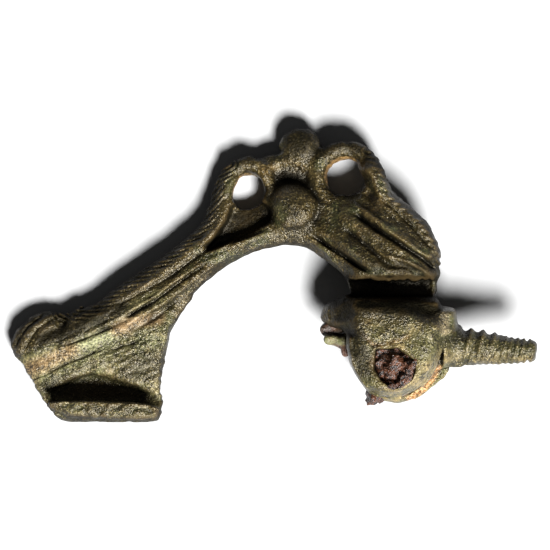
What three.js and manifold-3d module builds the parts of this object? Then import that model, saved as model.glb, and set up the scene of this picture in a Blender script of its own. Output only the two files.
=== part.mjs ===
// Roman bronze brooch (fibula): a one-piece casting with a catch, a roped bow with two pierced
// rings and a knob, a fluted bell, and a cross-wise hinge head with a ribbed finial.  The hinge
// keeps its rusted iron axle and the broken eye of the pin.
//
// Millimetres.  The bow is drawn in its own plane: X runs from the foot to the finial, Y from the
// catch to the crest, Z across the brooch, with the hinge axis at X = Y = 0.  The bow group then
// lies down on its side, on the far hinge lug, the foot knob and the crest, with +Z up.
import * as THREE from 'three';
import { mergeVertices } from 'three/addons/utils/BufferGeometryUtils.js';
import Module from 'manifold-3d';

const wasm = await Module();
wasm.setup();

// ---------------------------------------------------------------- driving dimensions

const HEAD_HALF_WIDTH = 5.2;          // hinge head, from the bow plane to the outside of a lug
const LUG_RADIUS = 4.4;
const LUG_CENTRE = [0.25, 1.55];
const LUG_TOP = 6.7;
const SLOT_HALF_WIDTH = 1.65;         // slot between the lugs that takes the eye of the pin
const HINGE_CENTRE = [0, 0.35];
const BORE_RADIUS = 1.95;
const AXLE_RADIUS = 1.62;
const EYE_HALF_WIDTH = 1.3;          // eye of the pin
const EYE_RADIUS = 2.9;

const RING_LEFT = { centre: [-13.95, 17.45], hole: 1.68, outer: 3.3 };
const RING_RIGHT = { centre: [-4.55, 18.7], hole: 1.85, outer: 3.65 };
const RING_HALF_DEPTH = 1.75;

const KNOB_CENTRE = [-8.7, 21.7];
const KNOB_RADIUS = 1.84;
const BOSS_CENTRE = [-9.6, 15.3];
const BOSS_RADIUS = 2.0;

const PLATE_HALF_THICKNESS = 0.7;
const CATCH_LEFT = -32.9;
const CATCH_RIGHT = -22.0;
const CATCH_BOTTOM = -4.9;
const LIP_TOP = -2.95;
const LIP_REACH = 2.9;                // how far the lip stands out from the bow plane

const ROPE_PITCH = 0.84;
const REST_SLOPE = [-0.1165, 0.1418]; // the table's rise across the bow plane, along X and along Y
const REST_CORNER = [-2.9, 5.4];      // the corner of the far lug that touches the table first
const FLAT_DEPTH = 0.16;              // how much is worn flat where the brooch touches the table

// ---------------------------------------------------------------- solids

/** A manifold solid from a closed three.js geometry, its faces turned out if they point in. */
function solid(geometry) {
  const bare = geometry.clone();
  bare.deleteAttribute('normal');
  bare.deleteAttribute('uv');
  const welded = mergeVertices(bare, 1e-4);
  const faces = [];
  for (let i = 0; i < welded.index.count; i += 3) {
    const [a, b, c] = [0, 1, 2].map((k) => welded.index.getX(i + k));
    if (a !== b && b !== c && c !== a) faces.push([a, b, c]);
  }
  const corner = (i) => new THREE.Vector3().fromBufferAttribute(welded.attributes.position, i);
  const volume = ([a, b, c]) => corner(a).dot(corner(b).cross(corner(c)));
  const inward = faces.reduce((sum, face) => sum + volume(face), 0) < 0;
  const turned = inward ? faces.map(([a, b, c]) => [a, c, b]) : faces;
  return new wasm.Manifold(new wasm.Mesh({
    numProp: 3,
    vertProperties: new Float32Array(welded.attributes.position.array),
    triVerts: new Uint32Array(turned.flat()),
  }));
}

/** The three.js geometry of a manifold solid. */
function geometryOf(manifold) {
  const mesh = manifold.getMesh();
  const geometry = new THREE.BufferGeometry();
  geometry.setAttribute('position', new THREE.BufferAttribute(mesh.vertProperties, 3));
  geometry.setIndex(new THREE.BufferAttribute(mesh.triVerts, 1));
  return geometry;
}

const join = (solids) => solids.reduce((all, one) => all.add(one));
const mirrored = (one) => one.add(one.mirror([0, 0, 1]));

/** A closed skin over rings of points that all have the same count, with flat ends. */
function skin(rings) {
  const sides = rings[0].length;
  const points = rings.flat();
  const first = points.length;
  const last = first + 1;
  points.push(centroid(rings[0]), centroid(rings.at(-1)));
  const index = [];
  for (let row = 0; row < rings.length - 1; row += 1) {
    for (let k = 0; k < sides; k += 1) {
      const a = row * sides + k;
      const b = row * sides + ((k + 1) % sides);
      index.push(a, b, a + sides, b, b + sides, a + sides);
    }
  }
  const end = (rings.length - 1) * sides;
  for (let k = 0; k < sides; k += 1) {
    const next = (k + 1) % sides;
    index.push(next, k, first, end + k, end + next, last);
  }
  const geometry = new THREE.BufferGeometry().setFromPoints(points);
  geometry.setIndex(index);
  return solid(geometry);
}

function centroid(ring) {
  return ring.reduce((sum, point) => sum.add(point), new THREE.Vector3()).divideScalar(ring.length);
}

/** Round to square: the cross-section of a limb, as cosine and sine raised to a power. */
function squircle(angle, power) {
  const bend = (value) => Math.sign(value) * Math.abs(value) ** power;
  return [bend(Math.cos(angle)), bend(Math.sin(angle))];
}

/** A limb in the bow plane: stations [inner x, y, outer x, y, half depth], joined by splines. */
class Limb {
  constructor(stations, power = 0.8) {
    this.power = power;
    this.inner = new THREE.CatmullRomCurve3(stations.map((s) => new THREE.Vector3(s[0], s[1], 0)));
    this.outer = new THREE.CatmullRomCurve3(stations.map((s) => new THREE.Vector3(s[2], s[3], s[4])));
  }

  /** The point at share t along the limb and at an angle round it. */
  point(t, angle) {
    const inner = this.inner.getPoint(t);
    const outer = this.outer.getPoint(t);
    const [across, deep] = squircle(angle, this.power);
    const share = (1 + across) / 2;
    return new THREE.Vector3(
      inner.x + (outer.x - inner.x) * share,
      inner.y + (outer.y - inner.y) * share,
      outer.z * deep,
    );
  }

  /** The near surface of the limb, at a share of the way from its inner to its outer edge. */
  flank(t, share) {
    const cosine = Math.min(Math.max(2 * share - 1, -1), 1);
    const angle = Math.acos(Math.sign(cosine) * Math.abs(cosine) ** (1 / this.power));
    return this.point(t, angle);
  }

  /** Lays a path on the near surface of the limb, sunk into it by a depth. */
  drape(path, sink) {
    const marks = [];
    for (let t = 0; t <= 1; t += 0.04) {
      for (let share = 0.02; share < 1; share += 0.04) marks.push(this.flank(t, share));
    }
    return path.map(([x, y]) => {
      const reach = (mark) => Math.hypot(mark.x - x, mark.y - y);
      const nearest = marks.reduce((best, mark) => (reach(mark) < reach(best) ? mark : best));
      return new THREE.Vector3(x, y, nearest.z - sink);
    });
  }

  body(steps, sides) {
    const ring = (t) => Array.from({ length: sides }, (_, k) => this.point(t, (2 * Math.PI * k) / sides));
    return skin(Array.from({ length: steps + 1 }, (_, i) => ring(i / steps)));
  }
}

/** A round bar along a path of points, its radius a function of share and angle. */
function bar(points, radius, steps, sides) {
  const path = new THREE.CatmullRomCurve3(points);
  const across = new THREE.Vector3(0, 0, 1);
  const rings = [];
  for (let i = 0; i <= steps; i += 1) {
    const t = i / steps;
    const centre = path.getPointAt(t);
    const up = new THREE.Vector3().crossVectors(across, path.getTangentAt(t)).normalize();
    const side = new THREE.Vector3().crossVectors(path.getTangentAt(t), up).normalize();
    rings.push(Array.from({ length: sides }, (_, k) => {
      const angle = (2 * Math.PI * k) / sides;
      const r = radius(t, angle);
      return centre.clone()
        .addScaledVector(up, r * Math.cos(angle))
        .addScaledVector(side, r * Math.sin(angle));
    }));
  }
  return skin(rings);
}

/** A turned shape: profile [along, radius], both ends on the axis, laid from a point along a direction. */
function turned(profile, from, direction, sides, flatten = 1) {
  const outline = profile.map(([along, radius]) => new THREE.Vector2(radius, along));
  const geometry = new THREE.LatheGeometry(outline, sides);
  const axis = new THREE.Vector3(...direction).normalize();
  geometry.applyQuaternion(new THREE.Quaternion().setFromUnitVectors(new THREE.Vector3(0, 1, 0), axis));
  geometry.scale(1, 1, flatten);
  geometry.translate(...from);
  return solid(geometry);
}

/** A plate of an outline in the bow plane, from one depth to another, with rounded edges. */
function plate(shape, back, front, round = 0, curveSegments = 12) {
  const geometry = new THREE.ExtrudeGeometry(shape, {
    depth: front - back - 2 * round,
    bevelEnabled: round > 0,
    bevelThickness: round,
    bevelSize: round,
    bevelOffset: -round,
    bevelSegments: 2,
    curveSegments,
  });
  geometry.translate(0, 0, back + round);
  return solid(geometry);
}

/** A round bar across the brooch, for bores. */
function crossBar([x, y], radius, halfLength, sides = 16) {
  const geometry = new THREE.CylinderGeometry(radius, radius, 2 * halfLength, sides);
  geometry.rotateX(Math.PI / 2);
  geometry.translate(x, y, 0);
  return solid(geometry);
}

/** A ball, or an egg when its half sizes differ. */
function egg(centre, halfSizes, detail = 12) {
  const geometry = new THREE.SphereGeometry(1, detail, Math.ceil(detail * 0.66));
  geometry.scale(...halfSizes);
  geometry.translate(...centre);
  return solid(geometry);
}

const at = (x, y, z = 0) => new THREE.Vector3(x, y, z);

// ---------------------------------------------------------------- the bow

// From the foot up to the crest: inner edge, outer edge, half depth.
const arm = new Limb([
  [-33.6, 0.9, -32.4, 4.6, 1.2],
  [-29.4, 2.9, -28.9, 5.9, 1.6],
  [-25.6, 4.5, -24.9, 8.2, 1.7],
  [-22.4, 5.9, -21.8, 10.6, 1.75],
  [-19.4, 7.3, -19.3, 12.6, 1.75],
  [-16.4, 9.9, -16.9, 15.2, 1.75],
  [-13.6, 11.5, -14.0, 16.6, 1.8],
  [-10.4, 12.15, -10.4, 18.4, 1.85],
  [-8.6, 12.0, -6.6, 18.2, 1.8],
]);

// From the crest down to the rim above the neck, where it opens like a bell.
const bell = new Limb([
  [-10.2, 12.2, -9.6, 17.6, 1.7],
  [-8.4, 11.95, -6.0, 17.2, 2.0],
  [-6.9, 10.9, -2.6, 17.4, 2.6],
  [-5.6, 9.9, 0.5, 16.4, 3.4],
  [-4.8, 9.2, 3.3, 14.0, 4.05],
  [-4.35, 8.6, 4.55, 10.9, 4.25],
  [-4.2, 8.3, 4.4, 8.7, 4.05],
], 0.86);

/** Flutes that run down the bell towards its outer corner: radius and path in the bow plane. */
const FLUTES = [
  { radius: 0.5, path: [[-8.4, 12.9], [-6.9, 12.0], [-5.5, 10.9], [-4.5, 9.8]] },
  { radius: 0.66, path: [[-6.9, 13.6], [-4.8, 12.2], [-2.8, 10.7], [-1.3, 9.5]] },
  { radius: 0.72, path: [[-4.8, 14.8], [-2.3, 13.0], [0.1, 11.3], [2.4, 9.6]] },
  { radius: 0.6, path: [[-3.5, 16.1], [-1.6, 14.3], [0.9, 12.5], [3.7, 10.6]] },
  { radius: 0.55, path: [[-1.7, 16.6], [0.2, 15.0], [1.9, 13.4], [3.4, 11.7]] },
];

function flutes() {
  const ribs = FLUTES.map(({ radius, path }) => {
    const swelling = (t) => radius * (0.7 + 0.3 * Math.sin(Math.PI * t));
    return bar(bell.drape(path, radius * 0.4), swelling, 4, 5);
  });
  return mirrored(join(ribs));
}

/** A two-strand rope moulding along a path. */
function rope(points, radius) {
  const length = new THREE.CatmullRomCurve3(points).getLength();
  const strands = 2;
  const turns = length / (ROPE_PITCH * strands);
  const bulge = (t, angle) => radius * (1 + 0.2 * Math.cos(strands * (angle - 2 * Math.PI * turns * t)));
  return bar(points, bulge, Math.round((length / ROPE_PITCH) * 2.6), 6);
}

function ropes() {
  const back = [[-27.2, 6.9], [-24.4, 8.7], [-21.4, 10.9], [-18.7, 12.9], [-17.2, 15.3], [-16.7, 17.6]];
  const bellEdge = [[-1.3, 17.5], [0.9, 15.8], [2.8, 13.9], [4.0, 11.2]];
  const lay = (path) => path.map(([x, y]) => at(x, y));
  return rope(lay(back), 0.75).add(rope(lay(bellEdge), 0.62));
}

/** A pierced ring standing on the crest, rounded on its outside. */
function ring({ centre, hole, outer }) {
  const profile = [];
  const mid = (hole + outer) / 2;
  const half = (outer - hole) / 2;
  const steps = 8;
  for (let k = 0; k < steps; k += 1) {
    const [across, deep] = squircle((2 * Math.PI * k) / steps, 0.7);
    profile.push(new THREE.Vector2(mid + half * across, RING_HALF_DEPTH * deep));
  }
  profile.push(profile[0].clone());
  const geometry = new THREE.LatheGeometry(profile, 18);
  geometry.rotateX(Math.PI / 2);
  geometry.translate(centre[0], centre[1], 0);
  return solid(geometry);
}

/** The crest knob and the web below it that ties the two rings together. */
function crestKnob() {
  const ball = egg([...KNOB_CENTRE, 0], [KNOB_RADIUS, KNOB_RADIUS, KNOB_RADIUS * 1.03], 12);
  const web = new Limb([
    [-12.6, 16.6, -5.8, 16.6, 1.7],
    [-12.4, 18.9, -6.2, 18.9, 1.55],
    [-12.6, 20.75, -6.0, 21.6, 1.1],
  ], 0.6).body(5, 12);
  return ball.add(web);
}

const boss = () => mirrored(egg([...BOSS_CENTRE, 1.15], [BOSS_RADIUS, BOSS_RADIUS * 1.05, 1.3], 10));

/** The sunk field below the left ring and the dimple below the knob, on both faces. */
function sunkFields() {
  const wedge = new THREE.Shape();
  wedge.moveTo(-17.3, 11.8);
  wedge.lineTo(-14.8, 15.4);
  wedge.quadraticCurveTo(-13.8, 14.9, -12.5, 15.6);
  wedge.quadraticCurveTo(-11.9, 14.3, -12.9, 14.0);
  wedge.quadraticCurveTo(-14.6, 13.2, -17.3, 11.8);
  const field = plate(wedge, 0.65, 4);
  const dimple = egg([-9.65, 18.25, 1.75], [1.2, 0.72, 0.95], 10);
  return mirrored(field.add(dimple));
}

/** The long ridges down the arm, on both faces. */
function armRidges() {
  const lower = [[-31.0, 2.4], [-28.2, 3.6], [-25.0, 5.0], [-22.2, 6.7], [-19.2, 9.1], [-16.2, 11.0]];
  const upper = [[-24.0, 7.7], [-21.0, 9.7], [-18.6, 11.7], [-16.5, 13.9], [-15.8, 15.0]];
  const arch = [[-16.6, 11.1], [-14.4, 12.3], [-12.0, 13.2]];
  const ridge = (path, radius, depth) => bar(path.map(([x, y]) => at(x, y, depth)), () => radius, 5, 5);
  return mirrored(join([ridge(lower, 0.45, 1.35), ridge(upper, 0.6, 1.35), ridge(arch, 0.5, 1.45)]));
}

// ---------------------------------------------------------------- the foot and the catch

/** The knob on the foot: a cap with two collars, pointing up and outward. */
function footKnob() {
  const profile = [
    [0, 0], [0, 2.0], [1.6, 2.6], [2.6, 3.0], [3.1, 2.84], [3.6, 3.18], [4.1, 2.86], [4.6, 2.92],
    [5.2, 2.4], [5.65, 1.5], [5.85, 0],
  ];
  return turned(profile, [-31.9, 0.4, 0], [-0.61, 0.79, 0], 14, 0.58);
}

const footBead = () => egg([-30.0, 5.65, 0], [0.85, 0.7, 1.2], 10);

/** The thin plate below the arm that carries the catch. */
function catchPlate() {
  const outline = new THREE.Shape();
  outline.moveTo(-36.3, 1.5);
  outline.lineTo(-34.1, -1.9);
  outline.lineTo(CATCH_LEFT, CATCH_BOTTOM + 0.9);
  outline.lineTo(CATCH_RIGHT - 0.5, CATCH_BOTTOM + 0.9);
  outline.quadraticCurveTo(-22.2, 0.2, -21.8, 2.6);
  outline.quadraticCurveTo(-21.2, 5.0, -19.2, 7.4);
  outline.lineTo(-21.5, 8.6);
  outline.lineTo(-30.0, 4.6);
  outline.lineTo(-34.6, 3.6);
  const sheet = plate(outline, -PLATE_HALF_THICKNESS, PLATE_HALF_THICKNESS, 0.25, 6);
  const swell = new Limb([
    [-34.4, -1.2, -35.0, 3.0, 1.1],
    [-31.4, -1.1, -31.8, 3.4, 1.2],
    [-28.7, -0.5, -28.6, 4.4, 1.2],
    [-25.4, -1.1, -25.0, 6.0, 1.15],
    [-22.6, -2.0, -20.8, 7.0, 1.0],
  ], 0.5).body(8, 14);
  return sheet.add(swell);
}

/** The catch: the foot of the plate rolled forward and up, open above like a trough. */
function catchRoll() {
  const section = new THREE.Shape();
  const inside = LIP_REACH - 0.85;
  section.moveTo(-PLATE_HALF_THICKNESS, -2.2);
  section.lineTo(-PLATE_HALF_THICKNESS, -3.6);
  section.quadraticCurveTo(-PLATE_HALF_THICKNESS, CATCH_BOTTOM, 0.9, CATCH_BOTTOM);
  section.quadraticCurveTo(LIP_REACH - 0.1, CATCH_BOTTOM, LIP_REACH, -3.5);
  section.quadraticCurveTo(LIP_REACH + 0.05, LIP_TOP, LIP_REACH - 0.4, LIP_TOP);
  section.quadraticCurveTo(inside, LIP_TOP, inside, -3.3);
  section.quadraticCurveTo(inside, -3.9, 1.4, -3.9);
  section.quadraticCurveTo(PLATE_HALF_THICKNESS, -3.9, PLATE_HALF_THICKNESS, -3.0);
  section.lineTo(PLATE_HALF_THICKNESS, -2.2);
  const length = CATCH_RIGHT - CATCH_LEFT;
  const options = { depth: length, bevelEnabled: false, curveSegments: 3 };
  const geometry = new THREE.ExtrudeGeometry(section, options);
  geometry.rotateY(Math.PI / 2);
  geometry.scale(1, 1, -1);
  geometry.translate(CATCH_LEFT, 0, 0);
  return solid(geometry).intersect(catchOutline());
}

/** The catch seen from its side: round at its lower corners and hollowed a little along its lip. */
function catchOutline() {
  const [left, right, low] = [CATCH_LEFT, CATCH_RIGHT, CATCH_BOTTOM];
  const outline = new THREE.Shape();
  outline.moveTo(left - 0.9, -2.0);
  outline.lineTo(left, LIP_TOP - 0.2);
  outline.quadraticCurveTo(left + 0.2, low, left + 2.2, low + 0.12);
  outline.quadraticCurveTo((left + right) / 2, low - 0.12, right - 0.9, low);
  outline.quadraticCurveTo(right, low, right - 0.1, LIP_TOP - 0.4);
  outline.lineTo(right - 0.1, -2.0);
  return plate(outline, -2, LIP_REACH + 1, 0, 5);
}

// ---------------------------------------------------------------- the head

/** The D-shaped outline of a hinge lug, flat on top. */
function lugOutline(inset) {
  const [x, y] = LUG_CENTRE;
  const r = LUG_RADIUS - inset;
  const outline = new THREE.Shape();
  outline.moveTo(x - r, LUG_TOP - inset);
  outline.lineTo(x - r, y + 0.4);
  outline.quadraticCurveTo(x - r, y - 1.2, x - r * 0.62, y - r * 0.78);
  outline.quadraticCurveTo(x - r * 0.35, y - r, x + 0.1, y - r);
  outline.quadraticCurveTo(x + r * 0.42, y - r, x + r * 0.8, y - r * 0.5);
  outline.quadraticCurveTo(x + r * 1.04, y - 0.8, x + r, y + 1.6);
  outline.lineTo(x + r * 0.92, LUG_TOP - inset);
  return outline;
}

/** A domed lug: the outline drawn in by steps towards its outer face. */
function lugs() {
  const layers = 4;
  const dome = 2.4;
  const rings = [];
  for (let i = 0; i <= layers; i += 1) {
    const share = i / layers;
    const inset = 1.75 * (1 - Math.sqrt(1 - (share * 0.96) ** 2));
    const depth = HEAD_HALF_WIDTH - dome + dome * Math.sin((share * Math.PI) / 2);
    const outline = lugOutline(inset).getSpacedPoints(20).slice(0, -1);
    rings.push(outline.map((point) => at(point.x, point.y, depth)));
  }
  const inner = rings[0].map((point) => at(point.x, point.y, 0));
  return mirrored(skin([inner, ...rings]));
}

/** The head: both lugs, the neck above them, the shoulder behind and the ribbed tongue in front. */
function head() {
  const neck = new Limb([
    [-4.1, 5.6, 4.1, 5.8, 2.6],
    [-4.1, 7.0, 3.9, 7.0, 2.2],
    [-4.2, 8.0, 4.1, 8.0, 2.1],
    [-4.2, 9.4, 4.1, 9.6, 2.6],
  ], 0.6).body(4, 12);
  const collar = egg([0.1, 7.85, 0], [4.35, 0.4, 2.35], 8);
  const shoulder = new Limb([
    [2.4, -0.6, 2.4, 6.5, 4.4],
    [4.3, 0.1, 4.2, 6.2, 3.9],
    [5.4, 0.35, 5.3, 5.5, 2.7],
    [6.1, 0.55, 6.1, 4.5, 1.9],
    [6.9, 0.65, 6.9, 3.8, 1.6],
  ]).body(6, 12);
  const tongue = new Limb([
    [-2.6, 4.6, -2.6, 6.9, 2.3],
    [-4.6, 4.3, -4.4, 6.9, 1.9],
    [-6.3, 4.5, -5.6, 6.45, 1.6],
    [-7.0, 5.1, -6.7, 6.0, 1.2],
  ]).body(5, 10);
  const slot = new THREE.Shape();
  slot.moveTo(-8, 3.9);
  slot.lineTo(1.2, 4.1);
  slot.quadraticCurveTo(3.2, 3.6, 3.2, 0.4);
  slot.lineTo(3.2, -5);
  slot.lineTo(-8, -5);
  return join([lugs(), neck, collar, shoulder])
    .subtract(plate(slot, -SLOT_HALF_WIDTH, SLOT_HALF_WIDTH, 0, 4))
    .add(tongue)
    .subtract(crossBar(HINGE_CENTRE, BORE_RADIUS, HEAD_HALF_WIDTH + 1));
}

/** The ribbed finial behind the head: [distance of a rib's crest, its radius]. */
const FINIAL_RIBS = [
  [1.0, 1.72], [2.05, 1.68], [3.2, 1.58], [4.45, 1.43], [5.4, 1.32], [6.2, 1.26], [7.05, 1.22],
];

function finial() {
  const profile = [[-1.5, 0], [-1.5, 1.6], [0.4, 1.55]];
  for (const [along, radius] of FINIAL_RIBS) {
    profile.push([along - 0.25, radius], [along + 0.2, radius], [along + 0.5, radius - 0.2]);
  }
  profile.push([7.7, 1.2], [8.05, 0.9], [8.15, 0]);
  return turned(profile, [5.65, 2.35, 0], [1, -0.075, 0], 12);
}

// ---------------------------------------------------------------- the pieces

/** Cuts off what is below the table the brooch lies on, which leaves three small flat spots. */
function tableCut() {
  const [slopeX, slopeY] = REST_SLOPE;
  const geometry = new THREE.BoxGeometry(120, 120, 20);
  const up = new THREE.Vector3(-slopeX, -slopeY, 1).normalize();
  geometry.translate(0, 0, -10);
  geometry.applyQuaternion(new THREE.Quaternion().setFromUnitVectors(new THREE.Vector3(0, 0, 1), up));
  geometry.translate(...REST_CORNER, -HEAD_HALF_WIDTH + FLAT_DEPTH);
  return solid(geometry);
}

function castBody() {
  const bow = join([
    arm.body(15, 12), bell.body(12, 16), flutes(), ropes(), armRidges(),
    ring(RING_LEFT), ring(RING_RIGHT), crestKnob(), boss(),
    footKnob(), footBead(), catchPlate(), catchRoll(), head(), finial(),
  ]);
  const holes = [RING_LEFT, RING_RIGHT].map(({ centre, hole }) => crossBar(centre, hole, 5));
  return bow.subtract(join(holes)).subtract(sunkFields()).subtract(tableCut());
}

/** The iron axle, swollen and uneven with rust at both ends. */
function axle() {
  const lump = (t, angle) => Math.sin(3 * angle + 9 * t) * Math.cos(2 * angle - 7 * t);
  const [x, y] = HINGE_CENTRE;
  const half = HEAD_HALF_WIDTH - 0.5;
  const sides = 14;
  const rings = [];
  const steps = 8;
  for (let i = 0; i <= steps; i += 1) {
    const t = i / steps;
    const end = Math.min(1, Math.sqrt(1 - (2 * t - 1) ** 8) + 0.45);
    rings.push(Array.from({ length: sides }, (_, k) => {
      const angle = (2 * Math.PI * k) / sides;
      const r = AXLE_RADIUS * (0.93 + 0.07 * lump(t, angle)) * end;
      return at(x + r * Math.cos(angle), y + r * Math.sin(angle), half * (2 * t - 1));
    }));
  }
  return skin(rings).subtract(tableCut());
}

/** What is left of the bronze pin: its eye round the axle and the stub of the broken shank. */
function pinEye() {
  const eye = crossBar(HINGE_CENTRE, EYE_RADIUS, EYE_HALF_WIDTH);
  const shank = bar(
    [at(-1.6, 1.6), at(-3.4, 2.3), at(-4.8, 2.7), at(-6.3, 3.0)],
    (t) => 1.12 - 0.5 * t,
    6,
    10,
  );
  return eye.add(shank).subtract(crossBar(HINGE_CENTRE, BORE_RADIUS, HEAD_HALF_WIDTH));
}

function piece(name, manifold, color, roughness, metalness) {
  const material = new THREE.MeshStandardMaterial({ color, roughness, metalness });
  const mesh = new THREE.Mesh(geometryOf(manifold), material);
  mesh.name = name;
  return mesh;
}

const bow = new THREE.Group();
bow.add(piece('cast_body', castBody(), '#6f6a4f', 0.55, 0.6));
bow.add(piece('hinge_axle', axle(), '#4a2f24', 0.9, 0.1));
bow.add(piece('pin_eye', pinEye(), '#7d8160', 0.7, 0.4));

// Lay the bow on its side and put the middle of its underside at the origin.
const up = new THREE.Vector3(-REST_SLOPE[0], -REST_SLOPE[1], 1).normalize();
bow.quaternion.setFromUnitVectors(up, new THREE.Vector3(0, 0, 1));
bow.updateMatrixWorld(true);
const box = new THREE.Box3().setFromObject(bow, true);
const middle = box.getCenter(new THREE.Vector3());
bow.position.set(-middle.x, -middle.y, -box.min.z);

const group = new THREE.Group();
group.add(bow);
group.updateMatrixWorld(true);

export default group;
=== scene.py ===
"""A Roman hinged bow brooch with its rusted hinge and corroded pin, lying on its side on a pale table.

The solids of the frame are turned into fields of signed distance, worked as a sculptor works wax
(melted edges, incised lines, hollows, pits and crusts), meshed again and given a buried bronze's patina.
Lengths are in millimetres in the bow's own frame: the hinge axis is Z, the bow runs to -X and +Y.
The row frame is in metres, with the table top at Z = 0.
"""

import math

import bmesh
import bpy
import numpy as np
import openvdb as vdb
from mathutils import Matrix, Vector


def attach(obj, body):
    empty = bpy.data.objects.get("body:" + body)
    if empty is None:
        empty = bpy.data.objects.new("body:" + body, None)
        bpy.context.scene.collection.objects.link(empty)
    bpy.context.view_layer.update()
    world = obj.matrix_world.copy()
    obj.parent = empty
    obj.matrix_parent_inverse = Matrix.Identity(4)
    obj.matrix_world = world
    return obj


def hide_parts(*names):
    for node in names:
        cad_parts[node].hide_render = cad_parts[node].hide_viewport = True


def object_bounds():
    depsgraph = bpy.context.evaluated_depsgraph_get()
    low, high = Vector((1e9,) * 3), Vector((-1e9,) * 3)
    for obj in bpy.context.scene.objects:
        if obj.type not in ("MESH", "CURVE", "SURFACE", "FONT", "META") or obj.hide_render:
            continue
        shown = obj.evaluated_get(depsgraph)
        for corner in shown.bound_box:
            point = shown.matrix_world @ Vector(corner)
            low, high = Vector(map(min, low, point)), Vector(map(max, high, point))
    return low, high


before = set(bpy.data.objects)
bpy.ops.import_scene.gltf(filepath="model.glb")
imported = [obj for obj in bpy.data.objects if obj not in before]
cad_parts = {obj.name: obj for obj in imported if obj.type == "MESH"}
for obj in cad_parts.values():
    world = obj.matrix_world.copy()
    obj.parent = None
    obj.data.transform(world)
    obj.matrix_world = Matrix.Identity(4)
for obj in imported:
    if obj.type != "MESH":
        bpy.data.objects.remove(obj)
CAD_BOX = [list(corner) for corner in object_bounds()]

MM = 0.001

# The hinge axis in the row frame, and how far the casting reaches in the bow's own frame.
LEAN = Vector((0.1165, -0.1418, 1.0)).normalized()
HEAD_TOP = 5.2
FINIAL_TIP = 13.777
KNOB_TOP = 23.54

BODY_VOXEL = 0.1
SMALL_VOXEL = 0.06
BODY_TRIANGLES = 192000
SMALL_TRIANGLES = 90000

# How far the sculpted surface stays inside the brooch's overall size at its low and high sides.
LOW_GAP = 0.004
HIGH_GAP = 0.02

# How far from the solid's surface the field of distances is true, and its value beyond the field.
FIELD_REACH = 1.2
FIELD_OUTSIDE = 10.0

FAR_AWAY = 1e6
NOISE_CELLS = 32

# An incised line starts at this share of its depth and gains the rest over this length.
LINE_START = 0.25
LINE_FADE = 0.8


# ------------------------ the bow's frame


def node_mesh(node):
    """Vertices in metres and triangles of a node."""
    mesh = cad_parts[node].data
    mesh.calc_loop_triangles()
    points = np.empty(len(mesh.vertices) * 3, np.float32)
    mesh.vertices.foreach_get("co", points)
    corners = np.empty(len(mesh.loop_triangles) * 3, np.int32)
    mesh.loop_triangles.foreach_get("vertices", corners)
    return points.reshape(-1, 3), corners.reshape(-1, 3)


TURN = np.array(LEAN.rotation_difference(Vector((0, 0, 1))).to_matrix())
UPRIGHT = node_mesh("cast_body")[0] / MM @ TURN
SHIFT = UPRIGHT.max(0) - (FINIAL_TIP, KNOB_TOP, HEAD_TOP)


def to_bow(points):
    """Row points in metres as bow points in mm."""
    return points / MM @ TURN - SHIFT


def to_row(points):
    """Bow points in mm as row points in metres."""
    return (points + SHIFT) @ TURN.T * MM


# ------------------------ noise


def smooth(x):
    return x * x * (3 - 2 * x)


def ramp(x, low, high):
    """0 below low, 1 above high, smooth between."""
    return smooth(np.clip((x - low) / (high - low), 0, 1))


def cell_corners(part):
    """The eight corners of a lattice cell, each with its weight at places inside the cell."""
    for corner in range(8):
        bits = np.array([corner & 1, corner >> 1 & 1, corner >> 2 & 1])
        yield bits, np.prod(np.where(bits, part, 1 - part), axis=-1)


def noise(points, size, seed):
    """Smooth noise from -1 to 1 at points, with lumps of about the given size."""
    table = np.random.default_rng(seed).uniform(-1, 1, [NOISE_CELLS] * 3).astype(np.float32)
    place = np.asarray(points, np.float32) / size
    cell = np.floor(place).astype(np.int32)
    total = 0
    for bits, weight in cell_corners(smooth(place - cell)):
        at = (cell + bits) % NOISE_CELLS
        total = total + weight * table[at[..., 0], at[..., 1], at[..., 2]]
    return total


def layered(points, size, seed, layers=3):
    """Noise with finer and weaker layers on it."""
    total = 0
    for k in range(layers):
        total = total + noise(points, size / 2**k, seed + k) / 2**k
    return total


def spline_rows(count, size):
    """Weights of a smooth curve through lattice values, one row a voxel."""
    place = np.arange(count) / size
    cell = np.floor(place).astype(int)
    f = place - cell
    weights = ((1 - f) ** 3, 3 * f**3 - 6 * f**2 + 4, -3 * f**3 + 3 * f**2 + 3 * f + 1, f**3)
    rows = np.zeros((count, cell.max() + 4), np.float32)
    for k, weight in enumerate(weights):
        rows[np.arange(count), cell + k] = weight / 6
    return rows


def cloud(shape, size, seed):
    """A random field with lumps of a size in voxels; its mean is 0 and its spread 1."""
    rows = [spline_rows(count, size) for count in shape]
    values = np.random.default_rng(seed).standard_normal([r.shape[1] for r in rows])
    values = values.astype(np.float32)
    for k, row in enumerate(rows):
        values = np.moveaxis(np.tensordot(row, values, (1, k)), 0, k)
    return values / values.std()


# ------------------------ fields of signed distance


def slid(plan, across, up):
    """A plan read at columns moved by parts of a voxel."""
    i, j = math.floor(across), math.floor(up)
    f, g = across - i, up - j
    plan = np.roll(plan, -i, 0) * (1 - f) + np.roll(plan, -i - 1, 0) * f
    return np.roll(plan, -j, 1) * (1 - g) + np.roll(plan, -j - 1, 1) * g


def bend_min(a, b, width):
    """The lower of two fields, rounded where they meet."""
    h = np.clip(0.5 + 0.5 * (b - a) / width, 0, 1)
    return b + (a - b) * h - width * h * (1 - h)


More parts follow.
